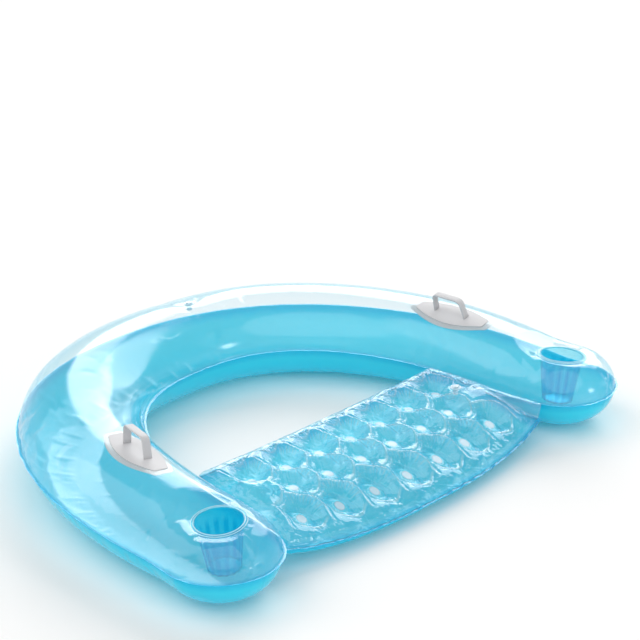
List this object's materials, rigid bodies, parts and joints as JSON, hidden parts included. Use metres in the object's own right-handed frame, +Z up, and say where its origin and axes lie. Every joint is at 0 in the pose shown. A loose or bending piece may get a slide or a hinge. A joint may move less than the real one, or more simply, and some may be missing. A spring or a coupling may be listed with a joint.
{
  "type": "inflatable pool chair",
  "caption": "Inflatable horseshoe pool chair: clear-topped blue air tube with a tufted seat panel, fluted cup holders, strap handles and push-in air valves.",
  "frame": {"origin": "centre of the bounding box in plan, on the floor that the chair lies on", "axes": "+Z up, -Y towards the arms' tips, so the backrest is towards +Y; +X to the left of someone who sits in the chair and looks out over its front"},
  "size_m": [1.316, 1.036, 0.2332],
  "materials": {
    "clear_vinyl": "clear, glossy and thin",
    "blue_vinyl": "tinted, glossy and thin",
    "cup_vinyl": "tinted, glossy and drawn into flutes",
    "white_vinyl": "moulded, soft satin",
    "valve_vinyl": "moulded, clear and soft"
  },
  "bodies": {
    "chair": {"ring_top_sheet": "clear_vinyl", "ring_bottom_sheet": "blue_vinyl", "seat_top_sheet": "clear_vinyl", "seat_bottom_sheet": "blue_vinyl", "seat_flap_right": "clear_vinyl", "seat_flap_left": "clear_vinyl", "cup_wall_right": "cup_vinyl", "cup_wall_left": "cup_vinyl", "cup_floor_right": "cup_vinyl", "cup_floor_left": "cup_vinyl", "cup_rim_right": "cup_vinyl", "cup_rim_left": "cup_vinyl", "handle_patch_right": "white_vinyl", "handle_patch_left": "white_vinyl", "handle_grip_right": "white_vinyl", "handle_grip_left": "white_vinyl", "ring_valve_collar": "valve_vinyl", "seat_valve_collar": "valve_vinyl"},
    "ring_valve_stem": {"ring_valve_stem": "valve_vinyl"},
    "ring_valve_plug": {"ring_valve_plug": "valve_vinyl"},
    "ring_valve_flap": {"ring_valve_flap": "valve_vinyl"},
    "seat_valve_stem": {"seat_valve_stem": "valve_vinyl"},
    "seat_valve_plug": {"seat_valve_plug": "valve_vinyl"},
    "seat_valve_flap": {"seat_valve_flap": "valve_vinyl"}
  },
  "joints": [
    {"name": "ring_valve_pull_out", "type": "slide", "parent": "chair", "child": "ring_valve_stem", "axis": [0.0081, -0.0007, 1], "range_m": [0, 0.0105]},
    {"name": "ring_valve_plug_open", "type": "hinge", "parent": "ring_valve_stem", "child": "ring_valve_plug", "pos_m": [0.08337, 0.36952, 0.20297], "axis": [-0.1452, -0.9894, 0.0005], "range_deg": [0, 150]},
    {"name": "ring_valve_flap_open", "type": "hinge", "parent": "ring_valve_stem", "child": "ring_valve_flap", "pos_m": [0.08777, 0.36886, 0.18439], "axis": [0.1452, 0.9894, -0.0005], "range_deg": [0, 65], "stiffness_Nm_per_rad": 0.0002, "springref_deg": -5.73},
    {"name": "seat_valve_pull_out", "type": "slide", "parent": "chair", "child": "seat_valve_stem", "axis": [-0.023, -0.0385, 0.999], "range_m": [0, 0.0105]},
    {"name": "seat_valve_plug_open", "type": "hinge", "parent": "seat_valve_stem", "child": "seat_valve_plug", "pos_m": [0.32525, -0.26173, 0.11034], "axis": [0, 0.9993, 0.0385], "range_deg": [0, 150]},
    {"name": "seat_valve_flap_open", "type": "hinge", "parent": "seat_valve_stem", "child": "seat_valve_flap", "pos_m": [0.32108, -0.26101, 0.09171], "axis": [0, -0.9993, -0.0385], "range_deg": [0, 65], "stiffness_Nm_per_rad": 0.0002, "springref_deg": -5.73}
  ]
}
